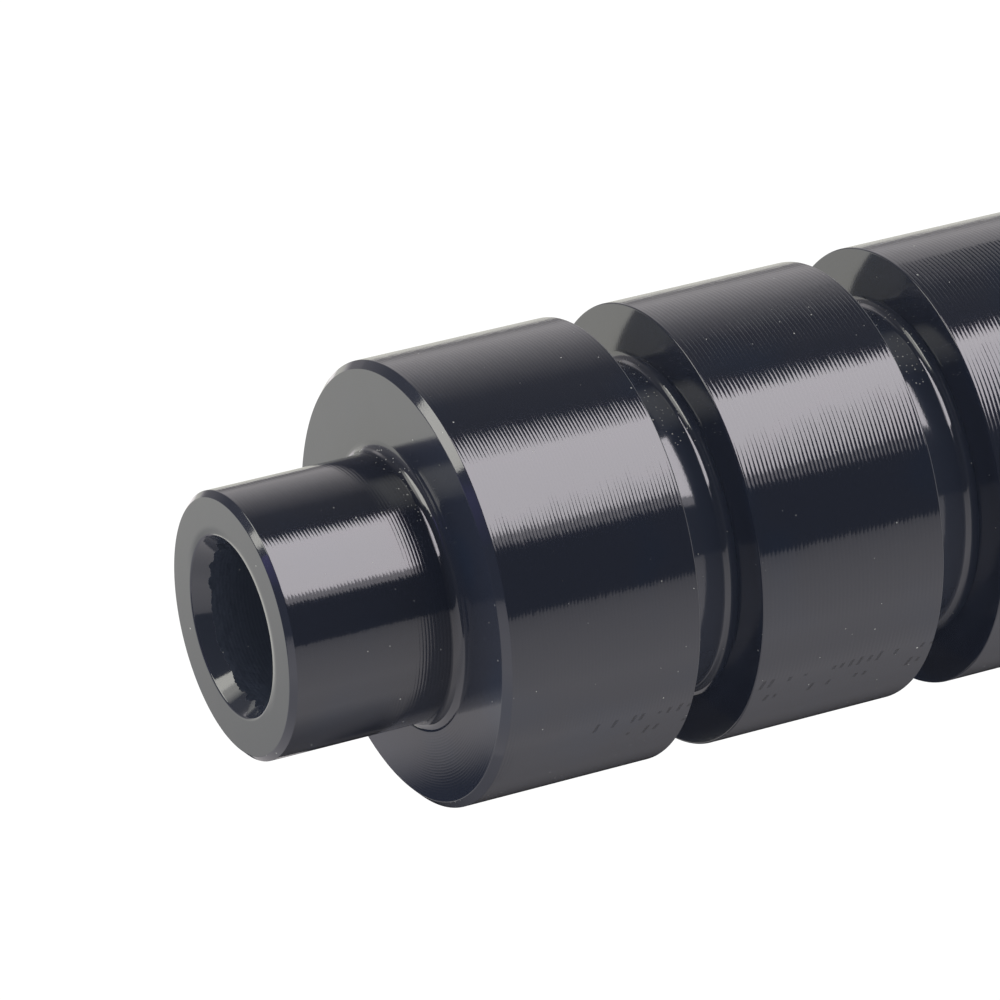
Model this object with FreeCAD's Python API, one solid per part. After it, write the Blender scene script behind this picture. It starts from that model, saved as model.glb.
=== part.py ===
# Thru axle adapter, turned from one aluminium bar and anodised black.
# A long body fills the bearings of a thru axle hub. A smaller spigot on each end drops into
# the fork's quick-release dropouts, and the skewer passes through the bore.
# The part stands on one end: Z is its axis, and Z = 0 is the lower end face. Sizes are millimetres.

import FreeCAD, Part

import math
import os

# Body, between the two shoulders that the dropouts close on
SHOULDER_SPACING = 100.0
BODY_DIAMETER = 15.0
LEAD_CHAMFER = 0.25
END_LAND_LENGTH = 7.1
LAND_LENGTH = 6.8
GROOVES_EACH_HALF = 5
GROOVE_WIDTH = 2.3
GROOVE_FLOOR_DIAMETER = 11.0
GROOVE_CORNER_BEVEL = 0.3
LAND_EDGE_BREAK = 0.05

# Spigots
SPIGOT_DIAMETER = 9.0
SPIGOT_LENGTH = 6.1
SPIGOT_CHAMFER = 0.2
SPIGOT_ROOT_RADIUS = 0.4

# Bore, with a centre-drilled mouth at each end
BORE_DIAMETER = 5.3
MOUTH_DIAMETER = 6.1
MOUTH_ANGLE = 60.0

# Places worked out from the sizes above
OVERALL_LENGTH = SHOULDER_SPACING + 2 * SPIGOT_LENGTH
MIDDLE = OVERALL_LENGTH / 2
GROOVE_PITCH = LAND_LENGTH + GROOVE_WIDTH
LOWER_SHOULDER = SPIGOT_LENGTH
UPPER_SHOULDER = SPIGOT_LENGTH + SHOULDER_SPACING
MOUTH_DEPTH = (MOUTH_DIAMETER - BORE_DIAMETER) / 2 / math.tan(math.radians(MOUTH_ANGLE / 2))

AXIS_POINT = FreeCAD.Vector(0, 0, 0)
AXIS = FreeCAD.Vector(0, 0, 1)
FULL_TURN = 360
QUARTER_ARC_MIDDLE = math.sqrt(0.5)


def at(radius, height):
    """A point of the half section, on the side of the axis that is drawn."""
    return FreeCAD.Vector(radius, 0, height)


class Outline:
    """A half section drawn point by point, in straight runs and quarter arcs."""

    def __init__(self, radius, height):
        self.here = at(radius, height)
        self.edges = []

    def line(self, radius, height):
        """A straight run from here to the point given."""
        there = at(radius, height)
        self.edges.append(Part.LineSegment(self.here, there).toShape())
        self.here = there

    def hollow_corner(self, radius, height, centre_radius, centre_height):
        """A quarter arc, bulging into the metal, from here to the point given."""
        there = at(radius, height)
        centre = at(centre_radius, centre_height)
        towards_corner = (self.here - centre) + (there - centre)
        middle = centre + towards_corner * QUARTER_ARC_MIDDLE
        self.edges.append(Part.Arc(self.here, middle, there).toShape())
        self.here = there

    def turned(self):
        """The closed outline, spun about the axis."""
        face = Part.Face(Part.Wire(self.edges))
        return face.revolve(AXIS_POINT, AXIS, FULL_TURN)


def draw_lower_spigot(outline):
    """From the end face up to the shoulder, with its chamfer and its root radius."""
    radius = SPIGOT_DIAMETER / 2
    root = SPIGOT_ROOT_RADIUS
    outline.line(radius - SPIGOT_CHAMFER, 0)
    outline.line(radius, SPIGOT_CHAMFER)
    outline.line(radius, LOWER_SHOULDER - root)
    outline.hollow_corner(radius + root, LOWER_SHOULDER, radius + root, LOWER_SHOULDER - root)


def draw_body(outline):
    """Lands and grooves from the lower shoulder to the upper one, the upper half mirroring the lower."""
    radius = BODY_DIAMETER / 2
    outline.line(radius - LEAD_CHAMFER, LOWER_SHOULDER)
    outline.line(radius, LOWER_SHOULDER + LEAD_CHAMFER)
    first = LOWER_SHOULDER + END_LAND_LENGTH
    lower_half = [first + number * GROOVE_PITCH for number in range(GROOVES_EACH_HALF)]
    upper_half = [2 * MIDDLE - bottom - GROOVE_WIDTH for bottom in reversed(lower_half)]
    for bottom in lower_half + upper_half:
        draw_groove(outline, bottom)
    outline.line(radius, UPPER_SHOULDER - LEAD_CHAMFER)
    outline.line(radius - LEAD_CHAMFER, UPPER_SHOULDER)


def draw_groove(outline, bottom):
    """One groove: square walls, a bevel in each floor corner and a small break on each edge."""
    top = bottom + GROOVE_WIDTH
    rim = BODY_DIAMETER / 2
    floor = GROOVE_FLOOR_DIAMETER / 2
    outline.line(rim, bottom - LAND_EDGE_BREAK)
    outline.line(rim - LAND_EDGE_BREAK, bottom)
    outline.line(floor + GROOVE_CORNER_BEVEL, bottom)
    outline.line(floor, bottom + GROOVE_CORNER_BEVEL)
    outline.line(floor, top - GROOVE_CORNER_BEVEL)
    outline.line(floor + GROOVE_CORNER_BEVEL, top)
    outline.line(rim - LAND_EDGE_BREAK, top)
    outline.line(rim, top + LAND_EDGE_BREAK)


def draw_upper_spigot(outline):
    """From the upper shoulder out to the upper end face."""
    radius = SPIGOT_DIAMETER / 2
    root = SPIGOT_ROOT_RADIUS
    outline.line(radius + root, UPPER_SHOULDER)
    outline.hollow_corner(radius, UPPER_SHOULDER + root, radius + root, UPPER_SHOULDER + root)
    outline.line(radius, OVERALL_LENGTH - SPIGOT_CHAMFER)
    outline.line(radius - SPIGOT_CHAMFER, OVERALL_LENGTH)


def draw_bore(outline):
    """Back down the middle: a conical mouth, the straight bore and the other mouth."""
    outline.line(MOUTH_DIAMETER / 2, OVERALL_LENGTH)
    outline.line(BORE_DIAMETER / 2, OVERALL_LENGTH - MOUTH_DEPTH)
    outline.line(BORE_DIAMETER / 2, MOUTH_DEPTH)
    outline.line(MOUTH_DIAMETER / 2, 0)


def adapter():
    """The whole part: one half section, turned once."""
    outline = Outline(MOUTH_DIAMETER / 2, 0)
    draw_lower_spigot(outline)
    draw_body(outline)
    draw_upper_spigot(outline)
    draw_bore(outline)
    return outline.turned()


def main():
    os.makedirs("parts", exist_ok=True)
    shape = adapter()
    shape.exportStep("parts/axle_adapter.step")
    middle_land = SHOULDER_SPACING - 2 * END_LAND_LENGTH - (2 * GROOVES_EACH_HALF - 2) * GROOVE_PITCH
    middle_land -= 2 * GROOVE_WIDTH
    print("length", OVERALL_LENGTH, "pitch", GROOVE_PITCH, "middle land", round(middle_land, 3))
    print("solids", len(shape.Solids), "valid", shape.isValid(), "volume", round(shape.Volume, 2))


main()
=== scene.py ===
# Thru axle adapter, standing on its lower end with Z along its axis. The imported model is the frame.
import math

import bpy
from mathutils import Matrix, Vector


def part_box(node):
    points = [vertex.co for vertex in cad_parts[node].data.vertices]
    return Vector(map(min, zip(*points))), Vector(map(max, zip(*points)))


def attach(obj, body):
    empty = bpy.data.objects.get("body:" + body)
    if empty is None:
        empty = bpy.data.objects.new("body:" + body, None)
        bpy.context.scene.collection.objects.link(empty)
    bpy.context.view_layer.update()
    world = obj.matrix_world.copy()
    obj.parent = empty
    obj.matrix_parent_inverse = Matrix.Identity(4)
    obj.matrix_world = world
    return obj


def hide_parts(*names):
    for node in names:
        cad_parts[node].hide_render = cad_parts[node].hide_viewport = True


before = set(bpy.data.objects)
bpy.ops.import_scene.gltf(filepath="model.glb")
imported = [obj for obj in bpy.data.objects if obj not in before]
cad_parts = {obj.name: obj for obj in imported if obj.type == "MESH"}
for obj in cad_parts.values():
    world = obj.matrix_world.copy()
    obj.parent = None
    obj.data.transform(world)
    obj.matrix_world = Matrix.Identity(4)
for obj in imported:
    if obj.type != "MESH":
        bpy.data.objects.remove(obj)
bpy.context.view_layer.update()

MM = 0.001


# The camera. The photograph shows the part lying down and running out of the picture. The camera looks down
# at the upper end of the standing part, and is rolled until the axis lies in the picture as it does there.
CAMERA_PLACE_MM = Vector((1.96, -217.48, 199.70))
LOOKS_DOWN_DEG = 24.218
ROLL_DEG = -103.56
LENS_MM = 261.07
SENSOR_MM = 36.0

camera_data = bpy.data.cameras.new("camera")
camera_data.lens = LENS_MM
camera_data.sensor_width = SENSOR_MM
camera = bpy.data.objects.new("camera", camera_data)
bpy.context.scene.collection.objects.link(camera)
lookdown = Matrix.Rotation(math.radians(90 - LOOKS_DOWN_DEG), 4, "X")
roll = Matrix.Rotation(math.radians(ROLL_DEG), 4, "Z")
camera.matrix_world = Matrix.Translation(CAMERA_PLACE_MM * MM) @ lookdown @ roll
bpy.context.scene.camera = camera


# The adapter: one bar of aluminium, turned between centres, with a spigot on each end, ten grooves along the
# body and a drilled bore. Its half section is drawn with sharp corners, and each says how far it is rounded.
# The lower half is the upper one turned over, and a slightly longer land joins them in the middle.
lower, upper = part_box("axle_adapter")
BODY_RADIUS = 7.5
OVERALL_LENGTH = (upper.z - lower.z) / MM
SPIGOT_RADIUS = 4.5
SPIGOT_LENGTH = 6.1
SPIGOT_CHAMFER = 0.2
SPIGOT_ROOT = 0.4
LEAD_CHAMFER = 0.25
END_LAND_LENGTH = 7.1
LAND_LENGTH = 6.8
GROOVES_EACH_HALF = 5
GROOVE_WIDTH = 2.3
GROOVE_FLOOR_RADIUS = 5.5
GROOVE_CORNER = 0.36
LAND_EDGE = 0.05
BORE_RADIUS = 2.65
MOUTH_RADIUS = 3.05
MOUTH_DEPTH = 0.693
MOUTH_EDGE = 0.10
FINE_EDGE = 0.03

MIDDLE = OVERALL_LENGTH / 2
UPPER_SHOULDER = OVERALL_LENGTH - SPIGOT_LENGTH
GROOVE_PITCH = LAND_LENGTH + GROOVE_WIDTH
FIRST_GROOVE = UPPER_SHOULDER - END_LAND_LENGTH - GROOVE_WIDTH / 2
MIDDLE_LAND_TOP = FIRST_GROOVE - (GROOVES_EACH_HALF - 0.5) * GROOVE_PITCH

ARC_STEP = math.radians(13)
GUARD = 0.015
SEGMENTS = 188
WELD = 0.001

# From the middle of the bore, out over the upper end, to the first groove's half land
end_corners = [
    (BORE_RADIUS, MIDDLE, 0),
    (BORE_RADIUS, OVERALL_LENGTH - MOUTH_DEPTH, FINE_EDGE),
    (MOUTH_RADIUS, OVERALL_LENGTH, MOUTH_EDGE),
    (SPIGOT_RADIUS - SPIGOT_CHAMFER, OVERALL_LENGTH, FINE_EDGE),
    (SPIGOT_RADIUS, OVERALL_LENGTH - SPIGOT_CHAMFER, FINE_EDGE),
    (SPIGOT_RADIUS, UPPER_SHOULDER, SPIGOT_ROOT),
    (BODY_RADIUS - LEAD_CHAMFER, UPPER_SHOULDER, FINE_EDGE),
    (BODY_RADIUS, UPPER_SHOULDER - LEAD_CHAMFER, FINE_EDGE),
    (BODY_RADIUS, FIRST_GROOVE + GROOVE_PITCH / 2, 0),
]

# One groove with half a land on each side, from the upper land to the lower one
groove_corners = [
    (BODY_RADIUS, GROOVE_PITCH / 2, 0),
    (BODY_RADIUS, GROOVE_WIDTH / 2, LAND_EDGE),
    (GROOVE_FLOOR_RADIUS, GROOVE_WIDTH / 2, GROOVE_CORNER),
    (GROOVE_FLOOR_RADIUS, -GROOVE_WIDTH / 2, GROOVE_CORNER),
    (BODY_RADIUS, -GROOVE_WIDTH / 2, LAND_EDGE),
    (BODY_RADIUS, -GROOVE_PITCH / 2, 0),
]

# What is left down to the middle of the bar
middle_corners = [
    (BODY_RADIUS, MIDDLE_LAND_TOP, 0),
    (BODY_RADIUS, MIDDLE, 0),
]


def rounded(corners):
    """The section's points: each corner between the ends becomes an arc with a guard point on each side."""
    points = [Vector(corners[0][:2])]
    for before, corner, after in zip(corners, corners[1:], corners[2:]):
        here = Vector(corner[:2])
        back = (Vector(before[:2]) - here).normalized()
        ahead = (Vector(after[:2]) - here).normalized()
        half_turn = (math.pi - back.angle(ahead)) / 2
        reach = corner[2] * math.tan(half_turn)
        centre = here + (back + ahead).normalized() * corner[2] / math.cos(half_turn)
        first = here + back * reach - centre
        last = here + ahead * reach - centre
        turn = math.atan2(first.cross(last), first.dot(last))
        steps = max(2, math.ceil(abs(turn) / ARC_STEP))
        points.append(here + back * (reach + GUARD))
        for step in range(steps + 1):
            angle = turn * step / steps
            side = Vector((-first.y, first.x))
            points.append(centre + first * math.cos(angle) + side * math.sin(angle))
        points.append(here + ahead * (reach + GUARD))
    points.append(Vector(corners[-1][:2]))
    return points


def section_object(name, corners):
    """A half section as loose points in order, for the lathe to turn."""
    mesh = bpy.data.meshes.new(name)
    mesh.from_pydata([(p.x * MM, 0, p.y * MM) for p in rounded(corners)], [], [])
    section = bpy.data.objects.new(name, mesh)
    bpy.context.scene.collection.objects.link(section)
    return section


def new_node(tree, kind, inputs=None, **settings):
    """A node, with its settings, and with its inputs set to values or joined to other nodes' outputs."""
    node = tree.nodes.new(kind)
    for name, value in settings.items():
        setattr(node, name, value)
    for key, value in (inputs or {}).items():
        if isinstance(value, bpy.types.NodeSocket):
            tree.links.new(value, node.inputs[key])
        else:
            node.inputs[key].default_value = value
    return node


def maths(tree, operation, *values):
    """The result of a Math node."""
    return new_node(tree, "ShaderNodeMath", dict(enumerate(values)), operation=operation).outputs[0]


def add_inputs(tree, sockets):
    """The tree's group input node, with a named socket of each kind given."""
    for name, kind in sockets.items():
        tree.interface.new_socket(name, in_out="INPUT", socket_type=kind)
    return tree.nodes.new("NodeGroupInput").outputs


lathe = bpy.data.node_groups.new("turned_surface", "GeometryNodeTree")
given = add_inputs(lathe, {"Section": "NodeSocketGeometry", "Segments": "NodeSocketInt"})
lathe.interface.new_socket("Surface", in_out="OUTPUT", socket_type="NodeSocketGeometry")
section_size = new_node(lathe, "GeometryNodeAttributeDomainSize", {"Geometry": given["Section"]})
row_count = section_size.outputs["Point Count"]
column_count = maths(lathe, "ADD", given["Segments"], 1)
sheet = new_node(lathe, "GeometryNodeMeshGrid", {"Vertices X": column_count, "Vertices Y": row_count})
number = lathe.nodes.new("GeometryNodeInputIndex").outputs[0]
column = maths(lathe, "FLOOR", maths(lathe, "DIVIDE", number, row_count))
row = maths(lathe, "SUBTRACT", number, maths(lathe, "MULTIPLY", column, row_count))
angle = maths(lathe, "DIVIDE", maths(lathe, "MULTIPLY", column, 2 * math.pi), given["Segments"])
position = lathe.nodes.new("GeometryNodeInputPosition").outputs[0]
drawn = new_node(lathe, "GeometryNodeSampleIndex", data_type="FLOAT_VECTOR",
                 inputs={"Geometry": given["Section"], "Value": position, "Index": row})
turned = new_node(lathe, "ShaderNodeVectorRotate", {"Vector": drawn.outputs[0], "Angle": angle},
                  rotation_type="Z_AXIS")
wrapped = new_node(lathe, "GeometryNodeSetPosition",
                   {"Geometry": sheet.outputs["Mesh"], "Position": turned.outputs[0]})
closed = new_node(lathe, "GeometryNodeMergeByDistance",
                  {"Geometry": wrapped.outputs[0], "Distance": WELD * MM})
new_node(lathe, "NodeGroupOutput", {"Surface": closed.outputs[0]})

bar = bpy.data.node_groups.new("turned_bar", "GeometryNodeTree")
given = add_inputs(bar, {
    "End section": "NodeSocketObject",
    "Groove section": "NodeSocketObject",
    "Middle section": "NodeSocketObject",
    "Grooves": "NodeSocketInt",
    "Groove pitch": "NodeSocketFloat",
    "First groove height": "NodeSocketFloat",
    "Overall length": "NodeSocketFloat",
    "Segments": "NodeSocketInt",
    "Finish": "NodeSocketMaterial",
})
bar.interface.new_socket("Bar", in_out="OUTPUT", socket_type="NodeSocketGeometry")


def turned_section(name):
    """The surface of revolution of one of the bar's sections."""
    section = new_node(bar, "GeometryNodeObjectInfo", {"Object": given[name]}).outputs["Geometry"]
    lathed = new_node(bar, "GeometryNodeGroup", {"Section": section, "Segments": given["Segments"]},
                      node_tree=lathe)
    return lathed.outputs["Surface"]


def joined(*parts):
    """Geometry made of several others."""
    join = bar.nodes.new("GeometryNodeJoinGeometry")
    for part in parts:
        bar.links.new(part, join.inputs[0])
    return join.outputs[0]


def upright(length):
    """A vector that points up by a length."""
    return new_node(bar, "ShaderNodeCombineXYZ", {"Z": length}).outputs[0]


first_groove = upright(given["First groove height"])
step_down = upright(maths(bar, "MULTIPLY", given["Groove pitch"], -1.0))
stations = new_node(bar, "GeometryNodeMeshLine", mode="OFFSET",
                    inputs={"Count": given["Grooves"], "Start Location": first_groove, "Offset": step_down})
grooves = new_node(bar, "GeometryNodeInstanceOnPoints",
                   {"Points": stations.outputs[0], "Instance": turned_section("Groove section")})
upper_half = joined(turned_section("End section"), grooves.outputs[0], turned_section("Middle section"))
lower_half = new_node(bar, "GeometryNodeTransform", {
    "Geometry": upper_half,
    "Translation": upright(given["Overall length"]),
    "Rotation": (math.pi, 0, 0),
}).outputs[0]
realized = new_node(bar, "GeometryNodeRealizeInstances", {"Geometry": joined(upper_half, lower_half)})
welded = new_node(bar, "GeometryNodeMergeByDistance",
                  {"Geometry": realized.outputs[0], "Distance": WELD * MM})
smooth = new_node(bar, "GeometryNodeSetShadeSmooth", {"Geometry": welded.outputs[0]})
finished = new_node(bar, "GeometryNodeSetMaterial",
                    {"Geometry": smooth.outputs[0], "Material": given["Finish"]})
new_node(bar, "NodeGroupOutput", {"Bar": finished.outputs[0]})


# Black anodising, a clear hard oxide with dye in it, over turning marks: one shallow scallop to each turn,
# and circles on the shoulders. The centre drill left a glossy mouth with a torn lower edge, and the bore
# below it is duller. Dust sits in the corners, and two rows of handling nicks run along one side.
ANODISED_BLACK = (0.016, 0.019, 0.030, 1)
ANODISED_BLUE = (0.014, 0.019, 0.033, 1)
MOUTH_COLOUR = (0.022, 0.026, 0.038, 1)
# The groove colour is painted light: lighter than the black, to lift the shade inside the grooves.
GROOVE_PAINTED_LIGHT_COLOUR = (0.036, 0.043, 0.066, 1)
# The bore colour is painted light: lighter than the black, to lift the shade inside the bore.
BORE_PAINTED_LIGHT_COLOUR = (0.050, 0.060, 0.086, 1)
DUST_COLOUR = (0.50, 0.50, 0.47, 1)
OXIDE_IOR = 1.76
OXIDE_ROUGHNESS = 0.085
BORE_ROUGHNESS = 0.28
DUST_ROUGHNESS = 0.8
DYE_PATCH_SIZE = 3.5
GROOVE_PAINTED_LIGHT_RADIUS = 6.1

FINE_FEED = 0.125
COARSE_FEED = 0.150
SHOULDER_FEED = 0.095
LAND_SCALLOP_SLOPE = 0.0875
SPIGOT_SCALLOP_SLOPE = 0.048
SHOULDER_SCALLOP_SLOPE = 0.020
SCALLOP_PATCH_SIZE = 1.4
WOBBLE_SIZE = 0.45
WOBBLE_SLOPE = 0.012
NEXT_TURN_STEP = 3.7

WAVE_SIZE = 1.6
WAVE_DEPTH = 0.004
GRAIN_SIZE = 0.08
GRAIN_DEPTH = 0.0004
ROLLED_WIDTH = 0.38
ROLLED_SLOPE = 0.19
ROLLED_SIDE_DEG = 35
TORN_SIZE = 0.45
TORN_DEPTH = 0.05
TORN_EDGE_LOWEST = -0.05
TORN_EDGE_SPREAD = 0.27
TORN_FADES_AT = (2.2, 0.9)

NICK_ROWS_DEG = (-52.4, -58.2)
NICK_SPACING = 0.34
NICK_LENGTH = 0.42
NICK_WIDTH = 0.13
NICK_LEAN = 0.35
NICK_SLOPE = 0.75
NICK_SHIFT = 0.18
NICKS_MISSING = (0.28, 0.60)
NICKS_FROM_END = (9.2, 22.4)
ROW_APART = 57.3
DUST_SPACING = 0.25
DUST_RADIUS = 0.026
DUST_RARITY = 0.86
RARER_ON_FACES = 0.10
COMMONER_IN_CORNERS = 0.45
CORNER_HEIGHT = 0.7
DUST_FROM_DEG = 25

anodising = bpy.data.materials.new("black_anodising")
anodising.use_nodes = True
shader = anodising.node_tree
shader.nodes.clear()


def calc(operation, *values):
    """The result of a Math node in the anodising."""
    return maths(shader, operation, *values)


def vector(operation, *values):
    """The result of a Vector Math node in the anodising."""
    node = new_node(shader, "ShaderNodeVectorMath", dict(enumerate(values)), operation=operation)
    return node.outputs["Value" if operation in ("LENGTH", "DOT_PRODUCT") else "Vector"]


def scaled(direction, amount):
    """A vector times a number."""
    node = new_node(shader, "ShaderNodeVectorMath", {0: direction, "Scale": amount}, operation="SCALE")
    return node.outputs[0]


def rise(value, start, end):
    """0 up to the start and 1 from the end on, with a smooth step between."""
    inputs = {"Value": value, "From Min": start, "From Max": end}
    return new_node(shader, "ShaderNodeMapRange", inputs, interpolation_type="SMOOTHSTEP").outputs[0]


def noise(place, size, detail=1.0):
    """Smooth noise from 0 to 1, whose grains are about this many millimetres."""
    inputs = {"Vector": place, "Scale": 1 / size, "Detail": detail}
    return new_node(shader, "ShaderNodeTexNoise", inputs).outputs[0]


def blended(share, first, second):
    """A colour between two others."""
    return new_node(shader, "ShaderNodeMix", {0: share, 6: first, 7: second}, data_type="RGBA").outputs[2]


def saw(turns):
    """From -1 to 1 over each turn."""
    return calc("MULTIPLY_ADD", calc("FRACT", turns), 2.0, -1.0)


# Places on the bar, in millimetres: how far from the axis, how far from the middle, and the angle round it
place = scaled(shader.nodes.new("ShaderNodeTexCoord").outputs["Object"], 1 / MM)
parts_of_place = new_node(shader, "ShaderNodeSeparateXYZ", {0: place}).outputs
height = parts_of_place["Z"]
outward = vector("MULTIPLY", place, (1, 1, 0))
radius = vector("LENGTH", outward)
from_middle = calc("ABSOLUTE", calc("SUBTRACT", height, MIDDLE))
turn = calc("ARCTAN2", parts_of_place["X"], calc("MULTIPLY", parts_of_place["Y"], -1.0))
SHOULDER_FROM_MIDDLE = MIDDLE - SPIGOT_LENGTH

on_lands = rise(radius, BODY_RADIUS - 0.2, BODY_RADIUS - 0.1)
on_spigots = rise(from_middle, SHOULDER_FROM_MIDDLE + 0.25, SHOULDER_FROM_MIDDLE + 0.3)
at_shoulder = rise(from_middle, SHOULDER_FROM_MIDDLE - 0.1, SHOULDER_FROM_MIDDLE - 0.02)
at_shoulder = calc("SUBTRACT", at_shoulder, on_spigots)
inside = calc("SUBTRACT", 1.0, rise(radius, MOUTH_RADIUS - 0.05, MOUTH_RADIUS))
torn_lowest = BORE_RADIUS + TORN_EDGE_LOWEST
torn_edge = calc("MULTIPLY_ADD", noise(place, TORN_SIZE, 3.0), TORN_EDGE_SPREAD, torn_lowest)
in_bore = calc("LESS_THAN", radius, torn_edge)
torn_deep, torn_shallow = TORN_FADES_AT
torn = calc("MULTIPLY", in_bore, rise(from_middle, MIDDLE - torn_deep, MIDDLE - torn_shallow))
fine_turned = calc("GREATER_THAN", from_middle, FIRST_GROOVE - MIDDLE)

# The surface as it would be without scallops: long waves, fine grain, and a torn finish in the bore
fields = [
    calc("MULTIPLY", noise(place, WAVE_SIZE), WAVE_DEPTH),
    calc("MULTIPLY", noise(place, GRAIN_SIZE, 0.0), GRAIN_DEPTH),
    calc("MULTIPLY", calc("MULTIPLY", noise(place, TORN_SIZE, 2.0), TORN_DEPTH), torn),
]
relief = calc("ADD", calc("ADD", fields[0], fields[1]), fields[2])
world_vector = dict(vector_type="VECTOR", convert_from="OBJECT", convert_to="WORLD")
away = new_node(shader, "ShaderNodeVectorTransform", {0: outward}, **world_vector).outputs[0]
axis = new_node(shader, "ShaderNodeVectorTransform", {0: (0, 0, 1)}, **world_vector).outputs[0]
cross_section = new_node(shader, "ShaderNodeNewGeometry").outputs["Normal"]
bore_wall = scaled(vector("NORMALIZE", away), -1.0)
smooth_normal = new_node(shader, "ShaderNodeMix", {0: in_bore, 4: cross_section, 5: bore_wall},
                         data_type="VECTOR").outputs[1]
uneven = new_node(shader, "ShaderNodeBump",
                  {"Height": relief, "Distance": MM, "Normal": smooth_normal}).outputs[0]

# The scallops tip that surface along the section, and each one wavers a little as it goes round
around = vector("NORMALIZE", vector("CROSS_PRODUCT", axis, away))
along = vector("NORMALIZE", vector("CROSS_PRODUCT", uneven, around))
facing_up = calc("ABSOLUTE", vector("DOT_PRODUCT", cross_section, axis))
cylindrical = calc("SUBTRACT", 1.0, rise(facing_up, 0.1, 0.3))
flat = rise(facing_up, 0.9, 0.98)

feed = new_node(shader, "ShaderNodeMix", {0: fine_turned, 2: COARSE_FEED, 3: FINE_FEED}).outputs[0]
turns = calc("DIVIDE", height, feed)
turn_height = calc("MULTIPLY", calc("FLOOR", turns), NEXT_TURN_STEP)
turn_shift = new_node(shader, "ShaderNodeCombineXYZ", {"Z": turn_height}).outputs[0]
turn_place = vector("ADD", outward, turn_shift)
strength = calc("MULTIPLY_ADD", noise(turn_place, SCALLOP_PATCH_SIZE), 0.9, 0.55)
slope = calc("ADD", calc("MULTIPLY", on_lands, LAND_SCALLOP_SLOPE),
             calc("MULTIPLY", on_spigots, SPIGOT_SCALLOP_SLOPE))
slope = calc("MULTIPLY", calc("MULTIPLY", slope, cylindrical), strength)
cylinder_tip = calc("MULTIPLY", saw(turns), slope)
face_slope = calc("MULTIPLY", calc("MULTIPLY", flat, at_shoulder), SHOULDER_SCALLOP_SLOPE)
face_tip = calc("MULTIPLY", saw(calc("DIVIDE", radius, SHOULDER_FEED)), face_slope)
wobble = calc("MULTIPLY_ADD", noise(turn_place, WOBBLE_SIZE), 2.0, -1.0)
wobble = calc("MULTIPLY", wobble, calc("MULTIPLY", cylindrical, WOBBLE_SLOPE))

# The mouth's edge is rolled over a little towards the axis, on one side
at_rim = calc("SUBTRACT", 1.0, rise(radius, MOUTH_RADIUS, MOUTH_RADIUS + ROLLED_WIDTH))
rim_tip = calc("MULTIPLY", calc("MULTIPLY", at_rim, flat), calc("MULTIPLY", on_spigots, ROLLED_SLOPE))
one_side = calc("COSINE", calc("SUBTRACT", turn, math.radians(ROLLED_SIDE_DEG)))
rim_tip = calc("MULTIPLY", rim_tip, rise(one_side, -0.35, 0.45))

# The nicks: short slanted dents in two rows, spaced unevenly
nicks = None
for number, (row_deg, missing) in enumerate(zip(NICK_ROWS_DEG, NICKS_MISSING)):
    off_row = calc("MULTIPLY", calc("SUBTRACT", turn, math.radians(row_deg)), BODY_RADIUS)
    lengthwise = calc("DIVIDE", calc("MULTIPLY_ADD", off_row, NICK_LEAN, height), NICK_SPACING)
    cell = calc("ADD", calc("FLOOR", lengthwise), ROW_APART * number)
    chance = new_node(shader, "ShaderNodeTexWhiteNoise", {"W": cell}, noise_dimensions="1D").outputs
    shift = calc("MULTIPLY_ADD", chance["Value"], 2 * NICK_SHIFT, -NICK_SHIFT)
    sideways = calc("ABSOLUTE", calc("SUBTRACT", calc("SUBTRACT", calc("FRACT", lengthwise), 0.5), shift))
    colour = new_node(shader, "ShaderNodeSeparateColor", {0: chance["Color"]}).outputs
    half_length = calc("MULTIPLY", calc("MULTIPLY_ADD", colour[1], 0.8, 0.2), NICK_LENGTH / 2)
    within = calc("LESS_THAN", calc("ABSOLUTE", off_row), half_length)
    narrow = calc("LESS_THAN", sideways, NICK_WIDTH / 2 / NICK_SPACING)
    present = calc("GREATER_THAN", colour[0], missing)
    nick_row = calc("MULTIPLY", calc("MULTIPLY", within, narrow), present)
    nicks = nick_row if nicks is None else calc("MAXIMUM", nicks, nick_row)
nick_start, nick_end = (OVERALL_LENGTH - distance for distance in reversed(NICKS_FROM_END))
stretch = calc("MULTIPLY", calc("GREATER_THAN", height, nick_start), calc("LESS_THAN", height, nick_end))
nicks = calc("MULTIPLY", nicks, calc("MULTIPLY", stretch, on_lands))

tipped_normal = vector("ADD", uneven, scaled(along, calc("ADD", cylinder_tip, face_tip)))
tipped_normal = vector("ADD", tipped_normal, scaled(bore_wall, rim_tip))
sideways_tip = calc("SUBTRACT", wobble, calc("MULTIPLY", nicks, NICK_SLOPE))
tipped_normal = vector("NORMALIZE", vector("ADD", tipped_normal, scaled(around, sideways_tip)))

# Dust: small pale specks. It has settled thickest in the corners of the side that lay uppermost.
in_corner = calc("SUBTRACT", 1.0, rise(radius, GROOVE_FLOOR_RADIUS + 0.4, GROOVE_FLOOR_RADIUS + 0.6))
below_spigot = calc("LESS_THAN", from_middle, SHOULDER_FROM_MIDDLE + CORNER_HEIGHT)
in_corner = calc("MULTIPLY", calc("MULTIPLY", in_corner, below_spigot), calc("SUBTRACT", 1.0, flat))
dusty = calc("MULTIPLY", in_corner, calc("GREATER_THAN", turn, math.radians(DUST_FROM_DEG)))
dust_scale = calc("MULTIPLY_ADD", dusty, 1 / DUST_SPACING, 1 / DUST_SPACING)
speckle = new_node(shader, "ShaderNodeTexVoronoi", {"Vector": place, "Scale": dust_scale}).outputs
luck = new_node(shader, "ShaderNodeSeparateColor", {0: speckle["Color"]}).outputs
rarity = calc("MULTIPLY_ADD", flat, RARER_ON_FACES, DUST_RARITY)
rarity = calc("MULTIPLY_ADD", dusty, -COMMONER_IN_CORNERS, rarity)
speck_size = calc("MULTIPLY_ADD", luck[1], 0.8, 0.4)
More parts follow.
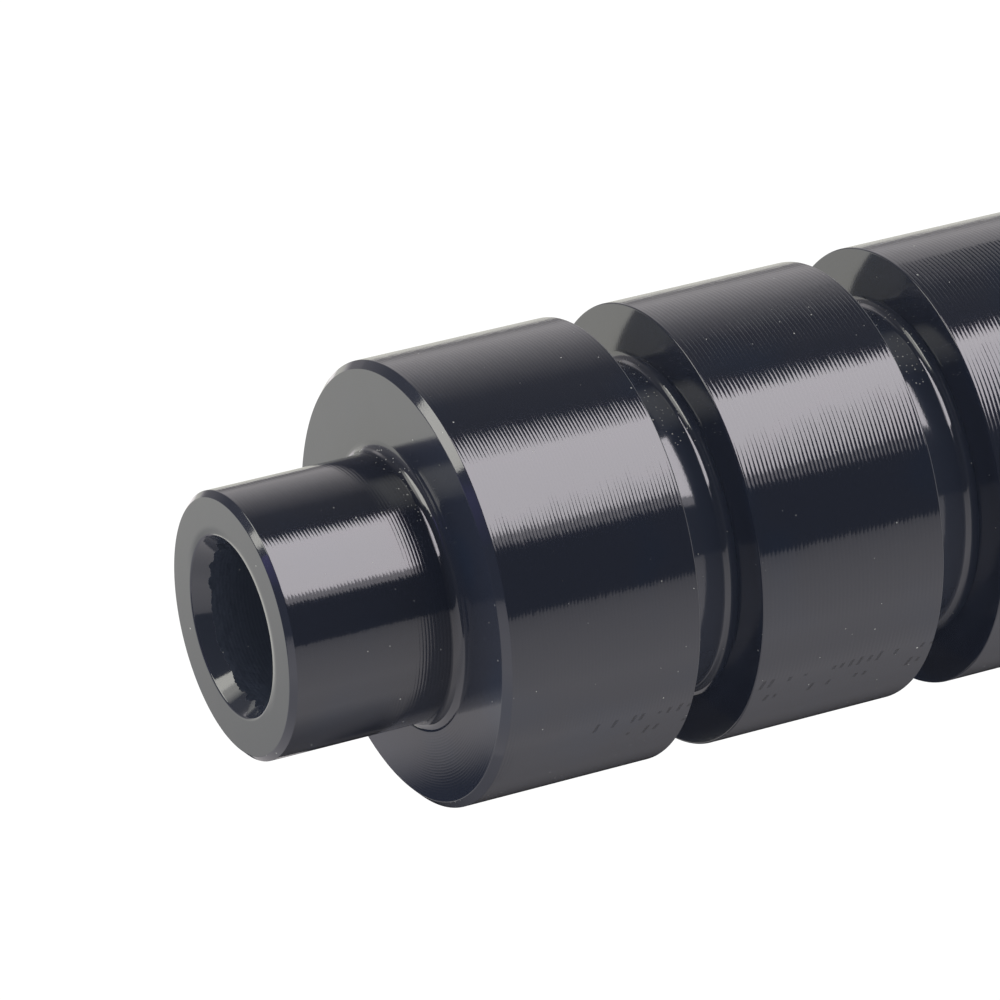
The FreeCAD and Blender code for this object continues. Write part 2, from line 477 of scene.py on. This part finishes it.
speck_size = calc("MULTIPLY", speck_size, calc("MULTIPLY", dust_scale, DUST_RADIUS))
speck = calc("LESS_THAN", speckle["Distance"], speck_size)
dust = calc("MULTIPLY", calc("GREATER_THAN", luck[0], rarity), speck)
dust = calc("MULTIPLY", dust, calc("MULTIPLY_ADD", luck[2], 0.85, 0.15))

bluer = rise(noise(place, DYE_PATCH_SIZE), 0.55, 0.75)
colour = blended(bluer, ANODISED_BLACK, ANODISED_BLUE)
# Painted light: the grooves get a lighter colour that lifts the shade in them.
groove_painted_light = calc("SUBTRACT", 1.0, rise(radius, GROOVE_PAINTED_LIGHT_RADIUS, BODY_RADIUS - 0.02))
groove_painted_light = calc("MULTIPLY", groove_painted_light, calc("LESS_THAN", from_middle, SHOULDER_FROM_MIDDLE - 1.0))
colour = blended(groove_painted_light, colour, GROOVE_PAINTED_LIGHT_COLOUR)
colour = blended(inside, colour, MOUTH_COLOUR)
# Painted light: the bore gets a lighter colour that lifts the shade inside it.
colour = blended(in_bore, colour, BORE_PAINTED_LIGHT_COLOUR)
colour = blended(dust, colour, DUST_COLOUR)
roughness = calc("MULTIPLY_ADD", in_bore, BORE_ROUGHNESS - OXIDE_ROUGHNESS, OXIDE_ROUGHNESS)
roughness = calc("MAXIMUM", roughness, calc("MULTIPLY", dust, DUST_ROUGHNESS))
surface = new_node(shader, "ShaderNodeBsdfPrincipled", {
    "Base Color": colour,
    "Roughness": roughness,
    "IOR": OXIDE_IOR,
    "Normal": tipped_normal,
})
new_node(shader, "ShaderNodeOutputMaterial", {"Surface": surface.outputs[0]})

end_section = section_object("end_section", end_corners)
groove_section = section_object("groove_section", groove_corners)
middle_section = section_object("middle_section", middle_corners)
adapter = bpy.data.objects.new("adapter", bpy.data.meshes.new("adapter"))
bpy.context.scene.collection.objects.link(adapter)
turning = adapter.modifiers.new("turned_bar", "NODES")
turning.node_group = bar
bar_sizes = {
    "End section": end_section,
    "Groove section": groove_section,
    "Middle section": middle_section,
    "Grooves": GROOVES_EACH_HALF,
    "Groove pitch": GROOVE_PITCH * MM,
    "First groove height": FIRST_GROOVE * MM,
    "Overall length": OVERALL_LENGTH * MM,
    "Segments": SEGMENTS,
    "Finish": anodising,
}
for socket in bar.interface.items_tree:
    if socket.in_out == "INPUT":
        turning[socket.identifier] = bar_sizes[socket.name]
depsgraph = bpy.context.evaluated_depsgraph_get()
turned_mesh = bpy.data.meshes.new_from_object(adapter.evaluated_get(depsgraph), depsgraph=depsgraph)
adapter.modifiers.clear()
adapter.data = turned_mesh
for section in (end_section, groove_section, middle_section):
    bpy.data.objects.remove(section)

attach(adapter, "root")
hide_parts("axle_adapter")


# The floor: a plain pale sheet that the part stands on. It shows white to the camera and in the part's
# gloss, and keeps the part's soft shadow.
FLOOR_SIZE = 6.0
FLOOR_COLOUR = (0.85, 0.85, 0.85, 1)
FLOOR_GLOW = 0.62

floor_mesh = bpy.data.meshes.new("floor")
half = FLOOR_SIZE / 2
floor_corners = [(-half, -half, 0), (half, -half, 0), (half, half, 0), (-half, half, 0)]
floor_mesh.from_pydata(floor_corners, [], [(0, 1, 2, 3)])
floor = bpy.data.objects.new("floor", floor_mesh)
bpy.context.scene.collection.objects.link(floor)


def seen_directly(tree):
    """1 for camera rays and for rays in gloss or glass, and 0 for the rays that light things."""
    path = tree.nodes.new("ShaderNodeLightPath").outputs
    seen = maths(tree, "MAXIMUM", path["Is Camera Ray"], path["Is Glossy Ray"])
    return maths(tree, "MAXIMUM", seen, path["Is Transmission Ray"])


paper = bpy.data.materials.new("paper")
paper.use_nodes = True
paper.node_tree.nodes.clear()
diffuse = new_node(paper.node_tree, "ShaderNodeBsdfDiffuse", {"Color": FLOOR_COLOUR}).outputs[0]
glow = new_node(paper.node_tree, "ShaderNodeEmission", {"Color": (1, 1, 1, 1), "Strength": 1.0}).outputs[0]
share = maths(paper.node_tree, "MULTIPLY", seen_directly(paper.node_tree), FLOOR_GLOW)
mixed = new_node(paper.node_tree, "ShaderNodeMixShader", {0: share, 1: diffuse, 2: glow}).outputs[0]
new_node(paper.node_tree, "ShaderNodeOutputMaterial", {"Surface": mixed})
floor_mesh.materials.append(paper)


# The studio round the part: bright panels, grey walls and black flags that only its gloss sees. Each is a
# patch of a sphere about the photographed end. Azimuth 0 is the camera's side, and 90 is +X. A higher layer
# lies a little further out.
STUDIO_RADIUS = 0.15
LAYER_STEP = 1.005
STUDIO_CENTRE = Vector((0, 0, 0.0998))
STUDIO_FLOOR = -41.5
PATCH_STEP_DEG = 2
BLACK = 0.02
WINDOW_TINT = (1.0, 0.95, 0.995)
BACK_TINT = (1.0, 0.985, 0.905)
SIDE_TINT = (1.0, 0.95, 0.955)
VIOLET_TINT = (0.42, 0.33, 1.0)

panel_light = bpy.data.materials.new("panel_light")
panel_light.use_nodes = True
panel_light.cycles.emission_sampling = "NONE"
panel_light.node_tree.nodes.clear()
glow = new_node(panel_light.node_tree, "ShaderNodeAttribute", attribute_name="glow").outputs["Color"]
emission = new_node(panel_light.node_tree, "ShaderNodeEmission", {"Color": glow, "Strength": 1.0})
new_node(panel_light.node_tree, "ShaderNodeOutputMaterial", {"Surface": emission.outputs[0]})


def on_sphere(azimuth, elevation, layer):
    """The point of a layer of the studio sphere that lies that way, in degrees."""
    a, e = math.radians(azimuth), math.radians(elevation)
    way = Vector((math.sin(a) * math.cos(e), -math.cos(a) * math.cos(e), math.sin(e)))
    return STUDIO_CENTRE + way * STUDIO_RADIUS * LAYER_STEP ** layer


def hidden_panel(name, columns, glows, tint):
    """A panel of upright columns of points, with a glow for each column, that shows only in gloss."""
    rows = len(columns[0])
    faces = []
    for i in range(len(columns) - 1):
        for j in range(rows - 1):
            corner = i * rows + j
            faces.append((corner, corner + 1, corner + rows + 1, corner + rows))
    mesh = bpy.data.meshes.new(name)
    mesh.from_pydata([point for column in columns for point in column], [], faces)
    values = []
    for glow in glows:
        values += [glow * tint[0], glow * tint[1], glow * tint[2], 1.0] * rows
    mesh.attributes.new("glow", "FLOAT_COLOR", "POINT").data.foreach_set("color", values)
    mesh.materials.append(panel_light)
    panel = bpy.data.objects.new(name, mesh)
    bpy.context.scene.collection.objects.link(panel)
    for ray in ("camera", "diffuse", "transmission", "volume_scatter", "shadow"):
        setattr(panel, "visible_" + ray, False)


def between(stops, step):
    """The stops and even steps between them, with every number of a stop changing in line."""
    filled = []
    for first, last in zip(stops, stops[1:]):
        count = max(1, round(abs(last[0] - first[0]) / step))
        for i in range(count):
            filled.append([a + (b - a) * i / count for a, b in zip(first, last)])
    filled.append(list(stops[-1]))
    return filled


def patch(name, layer, tint, stops):
    """A patch of the sphere. A stop is an azimuth, its lowest and highest elevation, and the glow there."""
    filled = between(stops, PATCH_STEP_DEG)
    rows = max(2, round(max(stop[2] - stop[1] for stop in filled) / PATCH_STEP_DEG))
    columns = []
    for azimuth, lowest, highest, glow in filled:
        elevations = [lowest + (highest - lowest) * j / rows for j in range(rows + 1)]
        columns.append([on_sphere(azimuth, elevation, layer) for elevation in elevations])
    hidden_panel(name, columns, [stop[3] for stop in filled], tint)


# The main window, low on the right of the camera, with its lower corners cut off and a dim left edge
WINDOW = 4.9
patch("window", 0, WINDOW_TINT, [
    (11.5, -23.5, -22, WINDOW), (13, -25, -17, WINDOW), (14.5, -26.7, -12, WINDOW), (16, -27.8, -4, WINDOW),
    (17.5, -28.9, 10, WINDOW), (20, -30.1, 12, WINDOW), (25, -32.4, 12, WINDOW), (34, -35.3, 12, WINDOW),
    (40, -37.3, 10, WINDOW), (53.5, -39.6, 2, WINDOW)])
patch("window_upper_wing", 0, WINDOW_TINT, [
    (53.5, -29, 2, WINDOW), (59, -23, -4, WINDOW), (65, -14.9, -4, WINDOW), (67, -12, -4, WINDOW)])
patch("window_lower_wing", 0, WINDOW_TINT, [
    (53.5, STUDIO_FLOOR, -29, WINDOW), (67, STUDIO_FLOOR, -39.5, WINDOW)])
patch("window_edge", 1, WINDOW_TINT, [
    (6, -25, -23, 1.3), (7.5, -26, -16, 1.3), (9.5, -27, -4, 1.3), (16, -28, -4, 1.3)])

# Black flags round the window and before the camera
patch("window_surround", 2, SIDE_TINT, [(6.4, STUDIO_FLOOR, -4, BLACK), (66, STUDIO_FLOOR, -4, 0.08)])
patch("front_flag", 2, SIDE_TINT, [(-28, STUDIO_FLOOR, 66, BLACK), (6.5, STUDIO_FLOOR, 66, BLACK)])
patch("above_window", 2, SIDE_TINT, [(6.4, -4.2, 67, BLACK), (66, -4.2, 67, 0.05)])

# The right wall, dark beside the window and lighter towards the back, where a low pale band crosses it
patch("side_wall", 2, SIDE_TINT, [
    (66, -32, -2, 0.08), (90, -32, -2, 0.12), (100, -32, -2, 0.34), (120, -34, -2, 0.78),
    (128, STUDIO_FLOOR, -2, 0.88), (140, STUDIO_FLOOR, -2, 0.91), (144, STUDIO_FLOOR, -2, 0.74),
    (148, STUDIO_FLOOR, -2, 0.48), (151, STUDIO_FLOOR, -2, 0.33), (154, STUDIO_FLOOR, -2, 0.32),
    (157, STUDIO_FLOOR, -2, 1.0)])
patch("side_wall_foot", 2, SIDE_TINT, [
    (66, STUDIO_FLOOR, -31.8, 0.08), (120, STUDIO_FLOOR, -33.8, 0.08),
    (128, STUDIO_FLOOR, STUDIO_FLOOR, 0.08)])
patch("side_wall_band", 2, SIDE_TINT, [
    (66, -2.2, 8, 0.06), (104, -2.2, 10, 0.12), (118, -2.2, 11, 0.22), (126, -2.2, 10, 0.45),
    (132, -2.2, 9, 0.9), (139, -2.2, 9, 0.9), (143, -2.2, 9, 0.45), (153, -2.2, 9, 0.4),
    (157, -2.2, 9, 0.95)])
patch("side_wall_top", 2, SIDE_TINT, [
    (66, 7.9, 67, 0.06), (106, 9.8, 67, 0.17), (124, 9.8, 67, 0.15), (130, 9.8, 67, 0.19),
    (136, 8.8, 67, 0.26), (142, 8.8, 67, 0.31), (152, 8.8, 67, 0.33), (157, 8.8, 67, 0.7)])

# The back wall, the left wall and the flag overhead
patch("back_wall_foot", 2, BACK_TINT, [
    (156.9, STUDIO_FLOOR, -6, 1.0), (160, STUDIO_FLOOR, -6, 1.0), (164, STUDIO_FLOOR, -6, 0.82),
    (172, STUDIO_FLOOR, -6, 0.8), (175, STUDIO_FLOOR, -6, 1.2), (186, STUDIO_FLOOR, -6, 1.2),
    (190, STUDIO_FLOOR, -6, 0.7)])
patch("back_wall", 2, BACK_TINT, [
    (156.9, -6.2, 66, 1.0), (172, -6.2, 66, 1.05), (176.5, -6.2, 66, 1.1), (179, -6.2, 66, 0.98),
    (181, -6.2, 66, 0.87), (183, -6.2, 66, 0.75), (190, -6.2, 66, 0.72)])
patch("left_wall", 2, SIDE_TINT, [
    (190, STUDIO_FLOOR, 66, 0.6), (235, STUDIO_FLOOR, 66, 0.72), (260, STUDIO_FLOOR, 66, 0.64),
    (272, STUDIO_FLOOR, 66, 0.66), (290, STUDIO_FLOOR, 66, 0.79), (308, STUDIO_FLOOR, 66, 0.73),
    (320, STUDIO_FLOOR, 66, 0.66), (328, STUDIO_FLOOR, 66, 0.56), (332, STUDIO_FLOOR, 66, 0.45)])
patch("top_flag", 2, SIDE_TINT, [(-180, 66, 89, 0.05), (180, 66, 89, 0.05)])

# The upper panel, which the chamfers, the fillets and the mouth catch, with a softer skirt below it and a
# violet glow over it
UPPER_PANEL = 4.3
patch("upper_panel", -1, BACK_TINT, [
    (65.5, 30, 53, UPPER_PANEL), (67, 30, 55.5, UPPER_PANEL), (76, 30, 54.7, UPPER_PANEL),
    (87, 30, 53.5, UPPER_PANEL), (93, 30, 49.5, UPPER_PANEL), (98.6, 30, 43.5, UPPER_PANEL),
    (103, 30, 39.7, UPPER_PANEL), (104.5, 30, 38.5, UPPER_PANEL), (106, 34, 37, UPPER_PANEL)])
patch("panel_skirt", -1, BACK_TINT, [
    (60, 18, 30, 0.1), (67, 16, 30, 1.0), (75, 12, 30, 1.9), (84, 12, 30, 2.1),
    (94, 16, 30, 2.0), (101, 20, 30, 1.0), (107, 24, 30, 0.1)])
patch("violet_glow", -1, VIOLET_TINT, [
    (72, 56.5, 65, 0.8), (66, 57.5, 65, 0.6), (57, 58, 65, 0.42), (45, 59, 65, 0.3),
    (30, 61, 66, 0.17), (15, 62, 66, 0.05)])

# Two low glows behind: one for the chamfers' upper ends, and one for the rolled rim of the mouth
patch("rear_window", -1, SIDE_TINT, [(164, -13, 12, 1.5), (176, -13, 12, 1.5)])
patch("low_back_glow", -1, BACK_TINT, [(177, -4, 17, 1.1), (183, -4, 17, 1.25), (193, -2, 17, 1.3)])

# Upright boards that stand close behind the part and show only in its gloss: painted shade in the
# reflections of its lower side. The lands see the dark one on its left. The spigot and its root see two that
# stand before its upper half, and the far one stands above its end. A board of a higher layer stands a
# little nearer to the part.
BOARD_DISTANCE = 0.025
BOARD_STEP = 0.99
BOARD_FOOT = 0.002
SPIGOT_BOARD_FOOT = 0.0982
SPIGOT_BOARD_TOP = 0.1060
FAR_BOARD_FOOT = 0.112
FAR_BOARD_TOP = 0.120


def near_board(name, layer, foot, stops):
    """An upright board round the axis. A stop is an azimuth, the height of the top there, and the glow."""
    distance = BOARD_DISTANCE * BOARD_STEP ** layer
    filled = between(stops, PATCH_STEP_DEG)
    columns = []
    for azimuth, top, glow in filled:
        a = math.radians(azimuth)
        x, y = math.sin(a) * distance, -math.cos(a) * distance
        columns.append([Vector((x, y, foot)), Vector((x, y, top))])
    hidden_panel(name, columns, [stop[2] for stop in filled], SIDE_TINT)


near_board("dark_board", 0, BOARD_FOOT, [
    (-92, 0.1170, 0.60), (-99.4, 0.1180, 0.50), (-105, 0.1183, 0.44), (-110.6, 0.1180, 0.38),
    (-116.3, 0.1170, 0.31), (-122, 0.1157, 0.27), (-127.7, 0.1142, 0.22), (-133.5, 0.1123, 0.16),
    (-139.3, 0.1105, 0.11), (-143, 0.1092, 0.08), (-148, 0.1060, 0.05), (-151, 0.1025, 0.03),
    (-155, 0.1010, 0.02), (-159.4, 0.1010, 0.02), (-160.4, 0.1120, 0.02), (-170.5, 0.1120, 0.02)])
near_board("spigot_board", 1, SPIGOT_BOARD_FOOT, [
    (azimuth, SPIGOT_BOARD_TOP, glow) for azimuth, glow in (
        (-86, 0.62), (-92, 0.50), (-97, 0.38), (-101.4, 0.31), (-108, 0.23), (-114, 0.18), (-120.6, 0.15),
        (-130, 0.12), (-139.9, 0.10))])
near_board("root_shade", 2, SPIGOT_BOARD_FOOT, [
    (-106, 0.0983, 0.20), (-113, 0.0989, 0.10), (-120.6, 0.0997, 0.05), (-130, 0.1005, 0.03),
    (-141, 0.1010, 0.03)])
near_board("far_board", 2, FAR_BOARD_FOOT, [
    (azimuth, FAR_BOARD_TOP, glow) for azimuth, glow in (
        (-158, 0.0), (-162.2, 0.0), (-163.2, 0.17), (-164.2, 0.33), (-165.3, 0.47), (-166.5, 0.56),
        (-170, 0.56))])


# Plain soft light: an even white surround and one wide lamp above, which casts the part's shadow.
SURROUND_LIGHT = 0.75
LAMP_PLACE = (0.1, 0.1, 0.9)
LAMP_SIZE = 0.7
LAMP_WATTS = 6.0

world = bpy.data.worlds.new("surround")
bpy.context.scene.world = world
world.use_nodes = True
world.node_tree.nodes.clear()
seen = seen_directly(world.node_tree)
lit = maths(world.node_tree, "MULTIPLY_ADD", seen, 1.0 - SURROUND_LIGHT, SURROUND_LIGHT)
sky = new_node(world.node_tree, "ShaderNodeBackground", {"Color": (1, 1, 1, 1), "Strength": lit})
new_node(world.node_tree, "ShaderNodeOutputWorld", {"Surface": sky.outputs[0]})

lamp_data = bpy.data.lights.new("lamp", "AREA")
lamp_data.shape = "DISK"
lamp_data.size = LAMP_SIZE
lamp_data.energy = LAMP_WATTS
lamp = bpy.data.objects.new("lamp", lamp_data)
lamp.location = LAMP_PLACE
lamp.visible_glossy = False
bpy.context.scene.collection.objects.link(lamp)

bpy.context.scene.view_settings.view_transform = "Standard"
